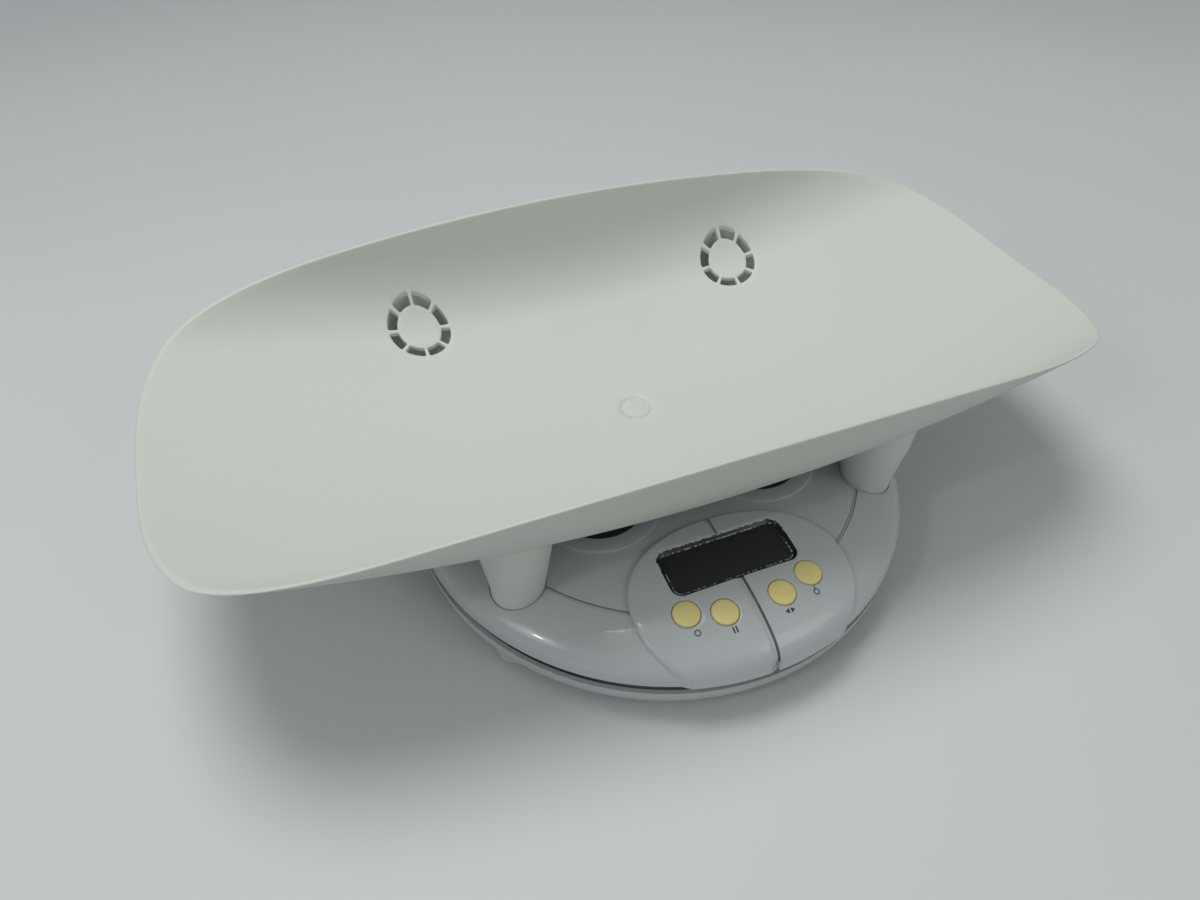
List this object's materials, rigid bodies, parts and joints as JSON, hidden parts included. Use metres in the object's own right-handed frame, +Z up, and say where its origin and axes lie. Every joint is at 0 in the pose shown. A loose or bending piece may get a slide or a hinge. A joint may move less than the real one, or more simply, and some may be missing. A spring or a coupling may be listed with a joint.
{
  "type": "digital baby weighing scale",
  "caption": "Low oval digital scale with a lift-off curved baby tray on plug-in legs, a front panel with display window and round press buttons.",
  "frame": {"origin": "on the table under the middle of the object's box, which is the middle of its length and of its depth over the control fascia", "axes": "+X along the tray to the right as seen from the control panel, +Y from the control panel to the back, +Z up"},
  "size_m": [0.5866, 0.3848, 0.143],
  "materials": {
    "tray_plastic": "fine matte off-white, slightly greenish",
    "shell_plastic": "glossy cool grey-white",
    "pad_rubber": "dark smooth rubber",
    "foot_rubber": "dark grey rubber",
    "zinc_steel": "bright zinc plating",
    "plate_steel": "plain pressed steel",
    "cell_aluminium": "milled",
    "gauge_sealant": "white sealant",
    "cable_jacket": "light grey jacket",
    "tinted_lens": "near-black tinted window",
    "dark_plastic": "dark moulded",
    "display_glass": "grey-green display",
    "connector_rubber": "striped rubber",
    "board_laminate": "green board",
    "button_plastic": "pale yellow satin",
    "battery_case": "dark wrapped steel",
    "lead_jacket": "red and black wire"
  },
  "bodies": {
    "base": {"bottom_shell": "shell_plastic", "lower_plate": "plate_steel", "lower_spacer": "plate_steel", "load_cell": "cell_aluminium", "gauge_cover": "gauge_sealant", "lower_cell_screws": "zinc_steel", "lower_plate_screws": "zinc_steel", "stop_screws": "zinc_steel", "foot_front_left": "foot_rubber", "foot_front_right": "foot_rubber", "foot_rear_left": "foot_rubber", "foot_rear_right": "foot_rubber", "battery_block": "battery_case", "battery_snap": "dark_plastic", "battery_leads": "lead_jacket"},
    "platform": {"platform_shell": "shell_plastic", "standing_pad_front_left": "pad_rubber", "standing_pad_front_right": "pad_rubber", "standing_pad_rear_left": "pad_rubber", "standing_pad_rear_right": "pad_rubber", "control_fascia": "shell_plastic", "fascia_screws": "zinc_steel", "display_lens": "tinted_lens", "display_frame": "dark_plastic", "display_glass": "display_glass", "display_connectors": "connector_rubber", "display_board": "board_laminate", "board_chip": "dark_plastic", "board_screws": "zinc_steel", "push_switches": "dark_plastic", "upper_plate": "plate_steel", "socket_screws": "zinc_steel", "upper_spacer": "plate_steel", "upper_cell_screws": "zinc_steel", "cell_cable": "cable_jacket"},
    "tray": {"tray_shell": "tray_plastic", "tray_centre_plate": "tray_plastic"},
    "zero_button": {"button_zero": "button_plastic", "plunger_zero": "dark_plastic"},
    "hold_button": {"button_hold": "button_plastic", "plunger_hold": "dark_plastic"},
    "units_button": {"button_units": "button_plastic", "plunger_units": "dark_plastic"},
    "power_button": {"button_power": "button_plastic", "plunger_power": "dark_plastic"},
    "door": {"battery_door": "shell_plastic"}
  },
  "joints": [
    {"name": "platform_settle", "type": "slide", "parent": "base", "child": "platform", "axis": [0, 0, -1], "range_m": [0, 0.0006], "stiffness_N_per_m": 250000, "deforming": ["load_cell", "battery_leads"]},
    {"name": "tray_lift", "type": "slide", "parent": "platform", "child": "tray", "axis": [0, 0, 1], "range_m": [0, 0.1]},
    {"name": "zero_button_press", "type": "slide", "parent": "platform", "child": "zero_button", "axis": [0, 0.0872, -0.9962], "range_m": [0, 0.0008], "stiffness_N_per_m": 400, "springref_m": -0.002},
    {"name": "hold_button_press", "type": "slide", "parent": "platform", "child": "hold_button", "axis": [0, 0.0872, -0.9962], "range_m": [0, 0.0008], "stiffness_N_per_m": 400, "springref_m": -0.002},
    {"name": "units_button_press", "type": "slide", "parent": "platform", "child": "units_button", "axis": [0, 0.0872, -0.9962], "range_m": [0, 0.0008], "stiffness_N_per_m": 400, "springref_m": -0.002},
    {"name": "power_button_press", "type": "slide", "parent": "platform", "child": "power_button", "axis": [0, 0.0872, -0.9962], "range_m": [0, 0.0008], "stiffness_N_per_m": 400, "springref_m": -0.002},
    {"name": "battery_door_slide", "type": "slide", "parent": "base", "child": "door", "axis": [0, 1, 0], "range_m": [0, 0.04]}
  ]
}
